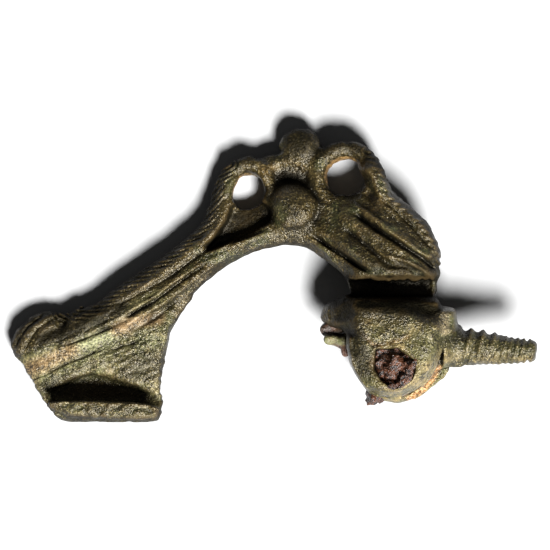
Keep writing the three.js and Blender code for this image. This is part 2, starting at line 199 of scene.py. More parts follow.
class Wax:
    """A node's solid as a field of signed distances, negative inside."""

    def __init__(self, node, voxel, margin=1.0):
        points, triangles = node_mesh(node)
        points = to_bow(points.astype(np.float64))
        self.voxel = voxel
        self.low = np.floor((points.min(0) - margin) / voxel).astype(int)
        shape = np.ceil((points.max(0) + margin) / voxel).astype(int) - self.low
        grid = vdb.FloatGrid.createLevelSetFromPolygons(
            points.astype(np.float32),
            triangles=triangles.astype(np.uint32),
            transform=vdb.createLinearTransform(voxelSize=voxel),
            halfWidth=FIELD_REACH / voxel,
        )
        self.field = np.zeros(shape, np.float32)
        grid.copyToArray(self.field, ijk=tuple(int(v) for v in self.low))
        x, y, z = ((self.low[k] + np.arange(shape[k], dtype=np.float32)) * voxel for k in range(3))
        self.axes = (x[:, None, None], y[None, :, None], z[None, None, :])

    def window(self, low, high):
        """A view of the field inside a box, with its coordinates."""
        cut = []
        for k in range(3):
            start = int(low[k] / self.voxel) - self.low[k]
            stop = int(high[k] / self.voxel) - self.low[k]
            cut.append(slice(max(0, start), max(0, stop)))
        x, y, z = self.axes
        return self.field[tuple(cut)], x[cut[0]], y[:, cut[1]], z[:, :, cut[2]]

    def add(self, low, high, form, blend):
        """Presses a form, a function of x, y and z, onto the solid inside a box."""
        field, x, y, z = self.window(low, high)
        field[...] = bend_min(field, form(x, y, z), blend)

    def from_above(self):
        """Where each column of the field meets the bow plane, as X and Y over the table from the hinge."""
        x, y = self.axes[0][:, :, 0], self.axes[1][:, :, 0]
        return TURN[0, 0] * x + TURN[0, 1] * y, TURN[1, 0] * x + TURN[1, 1] * y

    def slabs(self, *plans):
        """Each layer of the field with plans drawn from above, slid to where a plumb line meets the layer."""
        slide = np.linalg.solve(TURN[:2, :2], TURN[:2, 2]) / self.voxel
        for k, z in enumerate(self.axes[2].ravel()):
            yield (k, float(z), *[slid(plan, slide[0] * z, slide[1] * z) for plan in plans])

    def engrave(self, relief):
        """Relief drawn from above: ridges where it is above zero and grooves below."""
        for k, _, height in self.slabs(relief.astype(np.float32)):
            self.field[:, :, k] -= height

    def levelled(self, level, weight, low, high):
        """Each layer with a level and a weight drawn from above, the weight fading in between two heights."""
        plans = (np.zeros_like(weight) + level, weight)
        for k, z, height, share in self.slabs(*[plan.astype(np.float32) for plan in plans]):
            yield self.field[:, :, k], z - height, share * float(ramp(np.float64(z), low, high))

    def reshape(self, level, weight, low=0.0):
        """Moves the near surface to a level above the bow plane, by a weight from 0 to 1 drawn from above."""
        for layer, over, share in self.levelled(level, weight, low, low + 0.5):
            layer += share * (over - layer)

    def lower(self, level, weight):
        """Cuts the near surface down to a level above the bow plane where it stands higher."""
        for layer, over, share in self.levelled(level, weight, -0.3, 0.2):
            layer += share * (np.maximum(layer, over) - layer)

    def prism(self, away, low, high, blend):
        """Adds an upright prism between two levels from the signed distance to its outline."""
        for k, z, edge in self.slabs(away.astype(np.float32)):
            form = np.maximum(edge, max(z - high, low - z))
            self.field[:, :, k] = bend_min(self.field[:, :, k], form, blend)

    def blurred(self, steps):
        """The field averaged with its neighbours at each step, in voxels."""
        field = np.clip(self.field, -1, 1)
        for step in steps:
            for k in range(3):
                side = np.moveaxis(field, k, 0)
                soft = side * 0.5
                soft[step:] += side[:-step] * 0.25
                soft[:-step] += side[step:] * 0.25
                soft[:step] = side[:step]
                soft[-step:] = side[-step:]
                field = np.moveaxis(soft, 0, k)
        return field

    def melt(self, steps):
        """Rounds off the solid's edges."""
        self.field = np.ascontiguousarray(self.blurred(steps))

    def roughen(self, size, depth, seed):
        """Lumps and hollows of a size in mm."""
        self.field += depth * cloud(self.field.shape, size / self.voxel, seed)

    def sample(self, values, points):
        """Values of a field at points."""
        place = points / self.voxel - self.low
        place = np.clip(place, 0, np.array(values.shape) - 1.001)
        cell = place.astype(int)
        total = 0
        for bits, weight in cell_corners(place - cell):
            at = cell + bits
            total = total + weight * values[at[:, 0], at[:, 1], at[:, 2]]
        return total

    def within_size(self):
        """Cuts the field at the brooch's overall size, which is square only in the row frame."""
        x, y, z = self.axes
        for k in range(3):
            place = (x + SHIFT[0]) * TURN[k, 0] + (y + SHIFT[1]) * TURN[k, 1] + (z + SHIFT[2]) * TURN[k, 2]
            low, high = CAD_BOX[0][k] / MM, CAD_BOX[1][k] / MM
            outside = np.maximum(low + LOW_GAP - place, place - high + HIGH_GAP)
            self.field = np.maximum(self.field, outside)

    def surface(self):
        """Points in the bow's frame, triangles and quads of the field's zero level."""
        grid = vdb.FloatGrid(FIELD_OUTSIDE)
        grid.transform = vdb.createLinearTransform(voxelSize=self.voxel)
        grid.copyFromArray(self.field, ijk=tuple(int(v) for v in self.low))
        return grid.convertToPolygons(isovalue=0.0, adaptivity=0.0)


def drop_crumbs(mesh):
    """Deletes every loose bit of a mesh but the largest."""
    bm = bmesh.new()
    bm.from_mesh(mesh)
    seen = set()
    islands = []
    for start in bm.verts:
        if start in seen:
            continue
        seen.add(start)
        island = [start]
        for vert in island:
            fresh = [other for edge in vert.link_edges if (other := edge.other_vert(vert)) not in seen]
            seen.update(fresh)
            island.extend(fresh)
        islands.append(island)
    islands.sort(key=len)
    crumbs = [vert for island in islands[:-1] for vert in island]
    bmesh.ops.delete(bm, geom=crumbs, context="VERTS")
    bm.to_mesh(mesh)
    bm.free()


def mesh_object(name, wax, most):
    """The wax as a mesh object of about so many triangles at most."""
    points, triangles, quads = wax.surface()
    mesh = bpy.data.meshes.new(name)
    faces = [*triangles.tolist(), *quads[:, ::-1].tolist()]
    mesh.from_pydata(to_row(points).tolist(), [], faces)
    mesh.update()
    obj = bpy.data.objects.new(name, mesh)
    bpy.context.scene.collection.objects.link(obj)
    count = len(triangles) + 2 * len(quads)
    if count > most:
        thin = obj.modifiers.new("thin", "DECIMATE")
        thin.ratio = most / count
        evaluated = obj.evaluated_get(bpy.context.evaluated_depsgraph_get())
        thinned = bpy.data.meshes.new_from_object(evaluated)
        obj.modifiers.clear()
        obj.data = thinned
        bpy.data.meshes.remove(mesh)
        obj.data.name = name
    drop_crumbs(obj.data)
    obj.data.polygons.foreach_set("use_smooth", [True] * len(obj.data.polygons))
    return obj


def bow_points(obj):
    """The vertices of an object as bow points."""
    points = np.empty(len(obj.data.vertices) * 3, np.float32)
    obj.data.vertices.foreach_get("co", points)
    return to_bow(points.reshape(-1, 3).astype(np.float64))


def keep_values(obj, name, values):
    """Stores a number a vertex for the materials."""
    attribute = obj.data.attributes.new(name, "FLOAT", "POINT")
    attribute.data.foreach_set("value", np.asarray(values, np.float32))


def flanks(obj):
    """1 where the surface stands upright to the bow plane, 0 where it lies along it."""
    normals = np.empty(len(obj.data.vertices) * 3, np.float32)
    obj.data.vertex_normals.foreach_get("vector", normals)
    lean = np.abs(normals.reshape(-1, 3).astype(np.float64) @ TURN[:, 2])
    return 1 - ramp(lean, 0.25, 0.8)


def keep_colours(obj, name, colours):
    """Stores a colour a vertex for the materials."""
    attribute = obj.data.attributes.new(name, "FLOAT_COLOR", "POINT")
    rgba = np.ones((len(colours), 4), np.float32)
    rgba[:, :3] = colours
    attribute.data.foreach_set("color", rgba.ravel())


# ------------------------ relief drawn from above

# Lines and outlines are in mm on the table, from the hinge axis where it crosses the bow plane.


def along_line(x, y, points):
    """Distance from a broken line, how far along it the nearest place is, and 1 to its left or -1."""
    best = np.full(np.broadcast_shapes(x.shape, y.shape), FAR_AWAY, np.float32)
    along = np.zeros_like(best)
    side = np.ones_like(best)
    done = 0
    for (ax, ay), (bx, by) in zip(points, points[1:]):
        length = math.dist((ax, ay), (bx, by))
        t = np.clip(((x - ax) * (bx - ax) + (y - ay) * (by - ay)) / length**2, 0, 1)
        away = np.hypot(x - ax - t * (bx - ax), y - ay - t * (by - ay))
        nearer = away < best
        best = np.where(nearer, away, best)
        along = np.where(nearer, done + t * length, along)
        side = np.where(nearer, np.sign((bx - ax) * (y - ay) - (by - ay) * (x - ax)), side)
        done += length
    return best, along, side


def from_line(x, y, points):
    """Distance from a broken line."""
    return along_line(x, y, points)[0]


def inside_edge(x, y, points):
    """Distance in from an edge line, which has the brooch to its right, and how far along it."""
    away, along, side = along_line(x, y, points)
    return -side * away, along


def side_of_line(x, y, points):
    """Distance to the left of a broken line, less than zero to its right."""
    away, _, side = along_line(x, y, points)
    return side * away


def line_length(points):
    return sum(math.dist(a, b) for a, b in zip(points, points[1:]))


def from_outline(x, y, points):
    """Signed distance from a closed outline, negative inside."""
    away = from_line(x, y, [*points, points[0]])
    inside = np.zeros(away.shape, bool)
    for (ax, ay), (bx, by) in zip(points, [*points[1:], points[0]]):
        if ay != by:
            crosses = (ay > y) != (by > y)
            inside ^= crosses & (x < (bx - ax) * (y - ay) / (by - ay) + ax)
    return np.where(inside, -away, away)


def line_relief(x, y, points, width, height):
    """A line that fades at both ends: a ridge, or a groove if the height is negative."""
    away, along, _ = along_line(x, y, points)
    left = line_length(points) - along
    start, end = (np.minimum(1, LINE_START + run / LINE_FADE) for run in (along, left))
    return height * np.exp(-((away / width) ** 2)) * (start * end)


# Each line with its half width and its height, negative for a groove.
ARM_LINES = (
    ([(-25.4, 5.1), (-22.6, 6.75), (-20.5, 8.35), (-19.3, 9.2), (-17.9, 10.1)], 0.17, -0.34),
    (
        [(-31, 2.95), (-28.5, 3.95), (-25.6, 5.35), (-23, 6.95), (-20.9, 8.4), (-18.7, 9.95), (-16.6, 11)],
        0.22,
        0.2,
    ),
    ([(-25.6, 4.4), (-22.6, 6.0), (-20.4, 7.5), (-18.8, 8.8), (-17, 10.1)], 0.22, 0.14),
    ([(-24.6, 3.9), (-22.6, 5.0), (-20.8, 6.5)], 0.15, -0.14),
    ([(-26.5, 6.1), (-23.5, 7.8), (-21.2, 9.05), (-19, 10.7), (-17.2, 11.9), (-16.4, 12.7)], 0.2, -0.3),
    ([(-25.5, 7.0), (-22.5, 9.0), (-20.2, 10.8), (-18, 12.5), (-16.6, 13.9), (-15.6, 15.0)], 0.35, 0.16),
    ([(-17.0, 11.3), (-14.7, 12.9), (-13.2, 13.5), (-11.9, 14.0)], 0.2, 0.22),
    ([(-15.2, 12.3), (-13.4, 12.95), (-12.0, 13.5)], 0.14, -0.24),
)
BELL_LINES = (
    ([(-7.6, 12.95), (-5.9, 11.75), (-4.5, 10.85), (-3.3, 10.0), (-2.2, 9.4)], 0.17, -0.6),
    ([(-7.2, 13.5), (-4.9, 12.1), (-3.0, 10.8), (-1.6, 9.9)], 0.3, 0.16),
    ([(-4.8, 13.7), (-3.4, 12.7), (-2.1, 11.6), (-1, 10.5), (0.1, 9.9)], 0.26, -0.3),
    ([(-3.6, 15), (-2.5, 14.2), (-1.2, 13.3), (-0.1, 12.6), (1.4, 11.6), (2.8, 10.7), (4, 9.7)], 0.2, -0.62),
    ([(-3.6, 16.0), (-2.1, 14.8), (-0.6, 13.6), (0.9, 12.5), (2.3, 11.5), (3.8, 10.7)], 0.26, 0.26),
    ([(-0.9, 11.0), (0.9, 10.6), (2.8, 9.7), (4.1, 8.95)], 0.22, 0.26),
    ([(-0.5, 10.1), (1.2, 9.9), (2.6, 9.2), (3.6, 8.6)], 0.24, -0.16),
    ([(-1.9, 16.9), (-0.1, 15.6), (1.6, 14.0), (2.9, 12.5), (3.9, 11.4)], 0.2, -0.3),
    ([(-0.6, 16.9), (1.3, 15.3), (3.0, 13.6), (4.0, 12.1)], 0.2, 0.16),
)
FOOT_LINES = (
    ([(-36.3, 1.9), (-35.9, 2.9), (-34.9, 4.2), (-33.3, 5.35)], 0.15, -0.24),
    ([(-35.4, 1.6), (-34.8, 2.9), (-34, 4), (-32.3, 5.1)], 0.15, -0.22),
    ([(-34.7, 1.8), (-34.2, 2.6), (-33.4, 3.8), (-32.2, 4.5)], 0.18, 0.16),
    ([(-34.6, -0.95), (-33.2, -0.4), (-31.6, 0.5), (-29.3, 1.4), (-28.1, 2.0)], 0.11, -0.3),
    ([(-26.8, 1.9), (-25.9, 2.35), (-24.9, 2.6), (-24.1, 3.05)], 0.1, -0.3),
    ([(-31.5, 2.4), (-29.3, 3.1), (-27.0, 4.1), (-25.2, 5.0)], 0.13, -0.2),
    ([(-33, 1.9), (-30.5, 2.1), (-28.0, 3.0), (-25.0, 4.0), (-22.8, 4.6)], 0.5, 0.16),
)
HEAD_LINES = (
    ([(-4.15, 3.7), (-4.1, 2.6), (-3.9, 0.8), (-3.0, -0.9), (-2.2, -2.0)], 0.16, 0.16),
    ([(-2.4, -2), (-1.2, -2.55), (0.4, -2.7), (1.6, -2.45), (2.7, -1.6), (3.7, -0.5), (4.3, 0.7)], 0.16, 0.2),
    ([(-2.9, 3.6), (-2.0, 2.6), (-1.2, 2.5)], 0.2, -0.12),
    ([(1.3, 3.3), (0.3, 2.7), (-0.4, 2.9)], 0.16, -0.12),
    ([(-5.7, 6.4), (-6.05, 5.7), (-5.8, 4.7)], 0.12, -0.16),
    ([(-6.15, 6.2), (-6.45, 5.6), (-6.2, 4.9)], 0.09, -0.14),
    ([(-6.5, 6.1), (-6.75, 5.6), (-6.55, 5.0)], 0.08, -0.12),
)


def incised_lines(wax):
    """The grooves and ridges that run along the arm, the bell, the foot and the head."""
    u, v = wax.from_above()
    relief = 0
    for points, width, height in ARM_LINES + BELL_LINES + FOOT_LINES + HEAD_LINES:
        relief = relief + line_relief(u, v, points, width, height)
    wax.engrave(relief)


def drawn_out(u, v, length, width, seed, slope=0):
    """Noise in streaks of a length and width, leaning by a slope in degrees."""
    turn = math.radians(slope)
    along = (math.cos(turn) * u + math.sin(turn) * v) / length
    across = (math.cos(turn) * v - math.sin(turn) * u) / width
    return layered(np.stack([along, across, 0 * along + seed], -1), 1.0, seed, 2)


def streaks(wax):
    """Fine drawn-out wear along the foot and the arm, and down the bell."""
    u, v = wax.from_above()
    foot = ramp(-u, 18, 24)
    arm = ramp(-u, 12, 16) * (1 - foot)
    bell = ramp(u, -8, -5) * ramp(v, 8.2, 9.5)
    relief = 0.07 * foot * drawn_out(u, v, 1.9, 0.3, 41, slope=26)
    relief += 0.06 * arm * drawn_out(u, v, 2.2, 0.3, 44, slope=38)
    relief += 0.06 * bell * drawn_out(u, v, 1.6, 0.34, 47, slope=-38)
    wax.engrave(relief)


# The roped outer edges, from the foot up the arm and from the crest down the bell.
ARM_EDGE = [
    (-31.6, 5.7), (-30.4, 5.6), (-29.2, 6.1), (-28.1, 6.7), (-27.4, 7.2), (-26.5, 7.9), (-24.1, 9.5),
    (-21.2, 11.5), (-18.9, 13.4), (-17.9, 14.6), (-17.3, 16.5), (-16.8, 18.4), (-15.7, 19.9),
]
BELL_EDGE = [(-2.2, 21.0), (-0.8, 19.2), (0.05, 17.0), (1.8, 15.4), (3.3, 14.1), (4.2, 12.2), (4.7, 10.6)]


def rounded_edge(wax, edge, width, top, low):
    """The near surface rounds down from a top level to a low one at an outer edge."""
    u, v = wax.from_above()
    inward, along = inside_edge(u, v, edge)
    share = np.clip(inward / width, 0, 1)
    level = low + (top - low) * np.sqrt(1 - (1 - share) ** 2)
    length = line_length(edge)
    ends = ramp(along, 0.1, 1.5) * (1 - ramp(along, length - 1.2, length - 0.1))
    wax.reshape(level, (inward > 0.02) * (1 - ramp(inward, width * 0.8, width * 1.25)) * ends)


def strands(wax, edge, band, pitch, lean, height):
    """Twisted strands that lie along an edge in a band, each a pitch from the next."""
    u, v = wax.from_above()
    inward, along = inside_edge(u, v, edge)
    wave = np.cos(2 * math.pi * (along / pitch + lean * inward))
    here = ramp(inward, -0.6, 0.0) * (1 - ramp(inward, band * 0.75, band))
    wax.engrave(height * (np.abs(wave) ** 0.7 * np.sign(wave)) * here)


BROAD_PITCH = 1.16
FINE_PITCH = 0.58


def ribbed_finial(wax):
    """Leaning ribs round the finial: broad at its root, fine towards its tip."""
    u, v = wax.from_above()
    here = ramp(u, 6.2, 6.7) * (1 - ramp(u, 13.0, 13.3)) * (1 - ramp(v, 4.6, 5.2))
    lean = u - 0.26 * (v - 2.0)
    broad = np.cos(2 * math.pi * (lean - 6.95) / BROAD_PITCH)
    broad = broad * ramp(v, 1.4, 2.8) * (1 - ramp(u, 9.8, 10.6))
    fine = np.cos(2 * math.pi * lean / FINE_PITCH)
    fine = fine * (1 - 0.75 * ramp(v, 1.6, 2.6) * (1 - ramp(u, 10.2, 10.9)))
    wax.engrave(here * (0.16 * broad + 0.07 * fine * ramp(v, 0.3, 1.0)))
    tip_groove = np.exp(-(((u - 12.75) / 0.16) ** 2)) * (v < 4)
    wax.engrave(-0.14 * tip_groove)


def under(u, v, z):
    """The bow point at a level above the bow plane that lies at a place of the table plan."""
    across = np.array((u, v)) - TURN[:2, 2] * z
    x, y = np.linalg.solve(TURN[:2, :2], across)
    return np.array((x, y, z))


def press_lump(wax, place, radii, blend=0.2):
    """Adds a rounded lump at a place given as its table plan and its level above the bow plane."""
    middle = under(*place)

    def lump(x, y, z):
        away = np.sqrt(sum(((a - m) / r) ** 2 for a, m, r in zip((x, y, z), middle, radii)))
        return (away - 1) * min(radii)

    reach = np.array(radii) + 0.8
    wax.add(middle - reach, middle + reach, lump, blend)


TROUGH = [
    (-33.1, -3.1), (-32.95, -2.2), (-31.2, -1.3), (-29.6, -0.75), (-28.6, -0.6), (-27.1, -0.95),
    (-24.0, -1.85), (-22.3, -2.5), (-22.2, -3.2),
]


def catch_hollow(wax):
    """The plate dips behind the catch, most in the middle, and the lip stands highest there."""
    u, v = wax.from_above()
    away = from_outline(u, v, TROUGH)
    middle = np.clip(1 - ((u + 28.2) / 5.6) ** 2, 0, 1)
    fall = ramp(-away, -0.5, 0.35)
    wax.lower(1.0 - (0.75 + 1.15 * middle) * fall, 1 - ramp(away, 0.3, 0.8))


LIP = [
    (-32.95, -2.95), (-32.75, -3.4), (-32.35, -3.9), (-31.3, -4.45), (-28.0, -4.6), (-24.1, -4.8),
    (-22.7, -4.75), (-22.15, -4.3), (-22.05, -3.6), (-22.6, -3.25), (-24.5, -2.95), (-28.0, -2.85),
    (-31.2, -2.85),
]


def catch_lip(wax):
    """The rolled lip of the catch: steep towards the plate, bulging outwards, highest in the middle."""
    u, v = wax.from_above()
    middle = np.clip(1 - ((u + 28.0) / 5.9) ** 2, 0, 1)
    share = np.clip((-v - 2.95) / 1.9, 0, 1)
    bulge = np.sqrt(np.clip(1 - share**2.4, 0, 1))
    bumps = 0.22 * drawn_out(u, v, 0.9, 0.7, 53)
    away = from_outline(u, v, LIP)
    rolled = 0.7 * (1 - np.clip(-away / 0.5, 0, 1)) ** 2 * (v < -3.6)
    level = 1.85 + 0.6 * middle + 1.0 * bulge + bumps - rolled
    wax.reshape(level, 1 - ramp(away, -0.08, 0.04), low=1.9)


def crown_hollow(wax):
    """The low crown between the rings, and the high round boss below it."""
    u, v = wax.from_above()
    middle = np.hypot((u + 9.7) / 2.6, (v - 18.4) / 2.2)
    floor = 0.6 + 1.15 * ramp(v, 19.1, 20.6)
    wax.reshape(floor, 1 - ramp(middle, 0.45, 1.0))
    boss_u, boss_v = u + 9.5, v - 15.75
    away = np.hypot(boss_u / 1.05, boss_v)
    upper = ramp(boss_v - 0.5 * boss_u, -1.5, 0.5)
    swell = np.sqrt(np.clip(1 - (away / 2.25) ** 2, 0, 1))
    foot = 1.9 - 1.1 * upper
    wax.reshape(foot + (3.35 - foot) * swell, 1 - ramp(away, 2.1, 2.5 + 0.6 * (1 - upper)))


ARM_RECESS = [
    (-17.6, 11.8), (-16.4, 13.2), (-15.6, 14.6), (-15.3, 15.6), (-13.9, 15.75), (-12.4, 15.9),
    (-11.7, 15.4), (-11.8, 14.35), (-13.4, 13.35), (-15.4, 12.5),
]


def arm_recess(wax):
    """The wedge-shaped hollow where the arm divides below the left ring."""
    u, v = wax.from_above()
    away = from_outline(u, v, ARM_RECESS)
    across = side_of_line(u, v, [(-18.4, 11.4), (-15.4, 12.6), (-11.6, 14.5)])
    level = 0.35 * ramp(across, 0.9, 2.6) - 0.15
    wax.lower(level, 1 - ramp(away, -0.2, 0.35))


def neck_recess(wax):
    """The deep undercut between the bell and the head."""
    u, v = wax.from_above()
    brink = 8.72 + 0.16 * drawn_out(u, v, 0.7, 0.7, 57)
    across = ramp(u, -4.4, -3.5) * (1 - ramp(u, 3.4, 4.1))
    here = across * ramp(v, 6.9, 7.3) * (1 - ramp(v - brink, -0.1, 0.02))
    wax.reshape(0.3, here)


BROKEN_BORE = [
    (-1.7, 2.15), (-0.5, 2.2), (0.3, 2.3), (1.0, 1.8), (1.95, 1.0), (1.9, 0.1), (1.6, -0.7),
    (0.6, -1.3), (-0.1, -1.55), (-1.2, -0.7), (-1.85, 0.3), (-1.75, 1.4),
]


def broken_bore(wax):
    """The near end of the hinge bore, closed round by corrosion to a ragged opening."""
    u, v = wax.from_above()
    away = from_outline(u, v, BROKEN_BORE)
    near = np.hypot(u + 0.2, v - 0.7) < 3.0
    wax.reshape(5.05, near * (1 - ramp(np.hypot(u + 0.3, v - 0.8), 2.2, 2.9)))
    wax.reshape(3.4, near * (1 - ramp(away, -0.12, 0.1)))


def rolled_head(wax):
    """The near lug's face rolls away to the neck, and a flat facet lies behind its upper right corner."""
    u, v = wax.from_above()
    brow = 6.35 - 1.9 * ramp(u, -0.5, 4.6)
    fall = v - brow
    level = 5.2 - 1.5 * ramp(fall, -0.7, 1.2)
    across = ramp(u, -4.2, -3.4) * (1 - ramp(u, 4.1, 4.5))
    wax.reshape(level, ramp(fall, -0.7, -0.3) * across * (1 - ramp(v, 6.5, 7.0)))
    facet = ramp(u, 4.2, 4.4) * (1 - ramp(u, 5.6, 6.2)) * ramp(v, 3.2, 3.8) * (1 - ramp(v, 5.6, 6.2))
    wax.reshape(3.9 - 0.55 * (u - 4.3), facet)


FLANGE = [
    (-3.0, 7.0), (-4.4, 7.1), (-5.6, 6.6), (-6.5, 6.2), (-6.95, 5.4), (-7.0, 4.9), (-6.4, 4.55),
    (-5.8, 4.35), (-4.8, 4.0), (-4.15, 3.6), (-3.0, 3.2),
]


def flange(wax):
    """The flared wing at the upper left of the head, thinning to a ribbed tip."""
    u, v = wax.from_above()
    away = from_outline(u, v, FLANGE)
    slope = 4.8 - 1.15 * np.clip(-3.5 - u, 0, 4)
    lower_rib = np.exp(-(((v - 4.4 - 0.3 * (u + 5.5)) / 0.35) ** 2))
    level = slope - 0.7 * (1 - np.clip(-away / 0.6, 0, 1)) ** 2 + 0.35 * lower_rib
    wax.reshape(level, (away < 0.05) * (1 - ramp(u, -4.3, -3.2)))


# The middle and the radius of each ring's hole.
RING_HOLES = (((-13.8, 17.2), 1.5), ((-4.4, 18.65), 1.75))


def ring_rims(wax):
    """The rings' near faces dip like funnels into the holes."""
    u, v = wax.from_above()
    for (x, y), hole in RING_HOLES:
        away = np.hypot(u - x, v - y)
        level = 1.1 + np.clip((away - hole) / 1.1, 0, 2)
        wax.lower(level, 1 - ramp(away, hole + 1.3, hole + 1.7))


FAR_LUG = [
    (0.5, -2.3), (0.9, -2.75), (2.2, -2.75), (3.4, -1.95), (4.8, -0.75), (5.35, -0.05), (5.7, 0.9),
    (4.4, 1.6), (2.0, 0.0),
]
FAR_LUG_LEVELS = (-4.6, -1.75)
NEAR_RIM = [(0.4, -3.3), (1.5, -2.5), (2.7, -1.65), (3.6, -0.6), (4.15, 0.4), (4.4, 1.2)]


def far_lug(wax):
    """Below the near lug's right rim the corroded axle shows, and outside it the far lug."""
    u, v = wax.from_above()
    outside = -side_of_line(u, v, NEAR_RIM)
    here = ramp(outside, 0.0, 0.1) * (1 - ramp(outside, 2.0, 2.4)) * ramp(u, 0.3, 0.8)
    wax.lower(-0.6, here * (1 - ramp(u, 4.5, 4.8)))
    wax.prism(from_outline(u, v, FAR_LUG), *FAR_LUG_LEVELS, 0.15)


# Each lump with its place, its radii and how softly it is pressed on.
BODY_LUMPS = (
    ((-9.15, 21.7, 0.3), (1.5, 1.35, 1.4), 0.3),  # the crest knob
    ((-8.9, 20.8, 0.2), (1.4, 1.0, 1.3), 0.4),  # the knob's root
    ((-31.9, 5.0, 0.0), (1.2, 0.5, 1.0), 0.4),  # the back of the foot knob
    ((-29.9, 6.0, 0.5), (0.36, 0.3, 0.4), 0.2),  # the bead behind it
    ((5.75, 0.75, 0.4), (0.75, 0.4, 0.6), 0.3),  # the underside of the finial's root
)


def sculpt_body():
    """The casting, from its broad forms to its grain."""
    wax = Wax("cast_body", BODY_VOXEL)
    wax.melt(((2, 1, 2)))
    flange(wax)
    rolled_head(wax)
    crown_hollow(wax)
    ring_rims(wax)
    for lump in BODY_LUMPS:
        press_lump(wax, *lump)
    rounded_edge(wax, ARM_EDGE, width=1.7, top=1.75, low=0.35)
    rounded_edge(wax, BELL_EDGE, width=1.6, top=3.2, low=1.6)
    arm_recess(wax)
    catch_hollow(wax)
    wax.melt(((1, 2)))
    catch_lip(wax)
    far_lug(wax)
    neck_recess(wax)
    broken_bore(wax)
    strands(wax, ARM_EDGE, band=1.25, pitch=0.84, lean=-2.6, height=0.1)
    strands(wax, BELL_EDGE, band=0.9, pitch=0.78, lean=1.6, height=0.08)
    ribbed_finial(wax)
    incised_lines(wax)
    streaks(wax)
    wax.roughen(size=2.6, depth=0.04, seed=11)
    wax.roughen(size=0.9, depth=0.03, seed=12)
    wax.roughen(size=0.42, depth=0.028, seed=13)
    wax.within_size()
    obj = mesh_object("bow_and_head", wax, BODY_TRIANGLES)
    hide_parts("cast_body")
    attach(obj, "root")
    return obj, wax


def rust_plug(x, y, z):
    """Rust that fills the near end of the bore, lowest at its upper left."""
    away = np.hypot((x - 0.62) / 1.75, (y + 0.15) / 1.85)
    top = np.minimum(4.95, 4.35 + 0.3 * (x - 0.6) - 0.34 * (y + 0.3))
    return np.maximum((away - 1) * 1.75, np.maximum(z - top, 2.5 - z))


# Lumps of rust that have crept out below the head, and corrosion round the pin's stub in the slot.
RUST_LUMPS = (
    ((-1.75, -2.35, 2.0), (0.85, 0.75, 0.8)),
    ((-1.3, -2.55, 1.6), (0.8, 0.5, 0.7)),
)
PIN_LUMPS = (
    ((-6.05, 2.92, 1.0), (0.5, 0.5, 0.5)),
    ((-5.5, 3.0, 0.9), (0.75, 0.42, 0.5)),
    ((-4.8, 2.8, 0.8), (0.9, 0.62, 0.7)),
    ((-4.4, 2.1, 0.6), (0.75, 0.9, 0.7)),
    ((-6.1, 4.1, 0.3), (0.85, 0.72, 0.7)),
    ((-5.0, 4.1, 0.2), (1.1, 0.75, 0.7)),
    ((-6.3, 3.6, 0.2), (0.5, 0.5, 0.5)),
    ((-5.2, 3.4, -0.6), (1.2, 0.7, 0.6)),
)


def sculpt_axle():
    """The rusted axle, with the plug of rust in the bore's near end."""
    wax = Wax("hinge_axle", SMALL_VOXEL, margin=3.6)
    wax.melt((1, 1))
    wax.add((-2, -2.6, 2.2), (3, 2.6, 5.2), rust_plug, 0.3)
    for lump in RUST_LUMPS:
        press_lump(wax, *lump)
    wax.roughen(size=0.8, depth=0.2, seed=21)
    wax.roughen(size=0.36, depth=0.13, seed=22)
    wax.roughen(size=0.18, depth=0.05, seed=23)
    wax.within_size()
    obj = mesh_object("rusted_axle", wax, SMALL_TRIANGLES)
    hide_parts("hinge_axle")
    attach(obj, "root")
    return obj


def sculpt_pin():
    """The pin's eye in the slot, and the stub of its shank in its crust."""
    wax = Wax("pin_eye", SMALL_VOXEL, margin=1.2)
    wax.melt((1, 2, 1))
    for lump in PIN_LUMPS:
        press_lump(wax, *lump)
    wax.roughen(size=1.1, depth=0.09, seed=31)
    wax.roughen(size=0.45, depth=0.06, seed=32)
    wax.within_size()
    obj = mesh_object("pin_stump", wax, SMALL_TRIANGLES)
    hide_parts("pin_eye")
    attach(obj, "root")
    return obj


# ------------------------ patina


def shade(red, green, blue):
    """A colour as the eye names it, 0 to 255, as linear light."""
    values = np.array((red, green, blue)) / 255
    return np.where(values <= 0.04045, values / 12.92, ((values + 0.055) / 1.055) ** 2.4)


OLIVE = shade(62, 55, 34)
DARK_OLIVE = shade(40, 36, 23)
GREEN = shade(62, 70, 49)
PALE_GREEN = shade(96, 98, 72)
TAN = shade(132, 112, 82)
CREAM = shade(164, 150, 120)
MINT = shade(150, 158, 132)
ROSE = shade(150, 124, 102)
GREY = shade(128, 120, 106)
ORANGE = shade(158, 128, 92)
RUST = shade(96, 54, 30)

# What the dark, warm film of the burial leaves of every colour.
SOOTED = np.array((0.52, 0.48, 0.35))


class Coat:
    """The colours of an object's vertices, laid one over another."""

    def __init__(self, obj, colour):
        self.points = bow_points(obj)
        self.z = self.points[:, 2]
        plan = self.points @ TURN.T
        self.u, self.v = plan[:, 0], plan[:, 1]
        self.colours = np.tile(colour, (len(self.points), 1))

    def lay(self, colour, amount):
        """Lays a colour on by an amount from 0 to 1."""
        amount = np.clip(amount, 0, 1)[:, None]
        self.colours = self.colours * (1 - amount) + colour * amount

    def lumps(self, size, seed):
        """Patchy noise with lumps of a size in mm."""
        return layered(self.points, size, seed)

    def stroke(self, line, radius, soft):
        """1 within a radius of a line, or of a single place, seen from above, and 0 past it."""
        if len(line) == 1:
            away = np.hypot(self.u - line[0][0], self.v - line[0][1])
        else:
            away = from_line(self.u, self.v, line)
        return 1 - ramp(away, radius - soft, radius + soft)

    def marks(self, marks):
        """Each mark is a colour, its strength and its strokes."""
        for colour, strength, *strokes in marks:
            share = sum(self.stroke(*stroke) for stroke in strokes)
            self.lay(colour, np.clip(share, 0, 1) * strength)

    def keep(self, obj):
        keep_colours(obj, "paint", self.colours * SOOTED)


